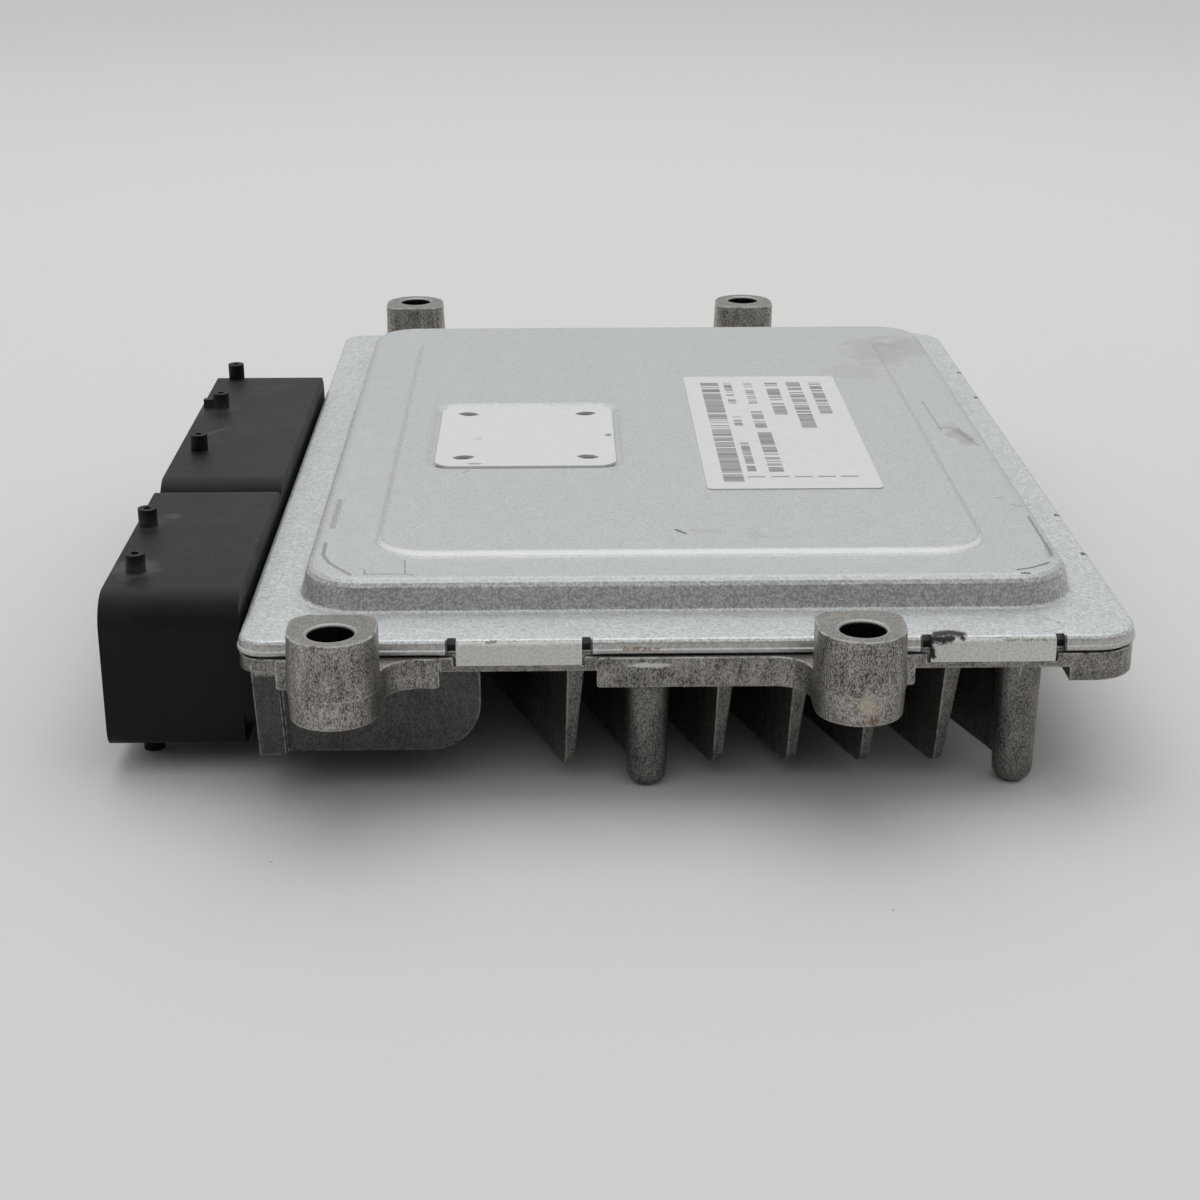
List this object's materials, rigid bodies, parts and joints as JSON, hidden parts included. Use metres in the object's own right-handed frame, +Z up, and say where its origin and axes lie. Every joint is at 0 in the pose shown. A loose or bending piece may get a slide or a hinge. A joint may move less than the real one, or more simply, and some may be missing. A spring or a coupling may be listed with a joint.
{
  "type": "engine control unit",
  "caption": "Engine control unit with a pressed steel lid, a finned cast base on bolt bosses and a plastic header with plug bays on one side.",
  "frame": {"origin": "centre of the rectangle of bolt holes, in the plane of the boss seats", "axes": "+Z up through the lid, +X away from the plug side, +Y along the case towards the back"},
  "size_m": [0.1508, 0.2118, 0.0304],
  "materials": {
    "die_cast": "rough cast",
    "zinc_sheet": "spangled zinc coat",
    "black_plastic": "moulded",
    "white_pad": "porous membrane",
    "label_film": "printed film",
    "seal_rubber": "cured bead",
    "tinned_metal": "tin plated",
    "gold_plate": "plated contact",
    "board_laminate": "solder mask",
    "package_epoxy": "moulded package",
    "sensor_plastic": "moulded package",
    "ceramic_body": "fired",
    "thermal_gum": "soft pad",
    "can_metal": "bare can",
    "ferrite": "pressed ferrite"
  },
  "bodies": {
    "root": {"base_housing": "die_cast", "lid_cover": "zinc_sheet", "lid_seal": "seal_rubber", "vent_membrane": "white_pad", "product_label": "label_film", "connector_header": "black_plastic", "header_seal": "seal_rubber", "header_screws": "tinned_metal", "front_bay_signal_pins": "gold_plate", "front_bay_power_pins": "tinned_metal", "rear_bay_signal_pins": "gold_plate", "rear_bay_power_pins": "tinned_metal", "circuit_board": "board_laminate", "board_screws": "tinned_metal", "thermal_pads": "thermal_gum", "microcontroller": "package_epoxy", "flash_memory": "package_epoxy", "driver_chips": "package_epoxy", "ignition_transistors": "package_epoxy", "voltage_regulator": "package_epoxy", "bus_transceivers": "package_epoxy", "pressure_sensor": "sensor_plastic", "quartz_crystal": "can_metal", "power_inductor": "ferrite", "electrolytic_capacitors": "can_metal", "suppressor_diodes": "package_epoxy", "ceramic_capacitors": "ceramic_body", "shunt_resistors": "package_epoxy"}
  },
  "joints": []
}
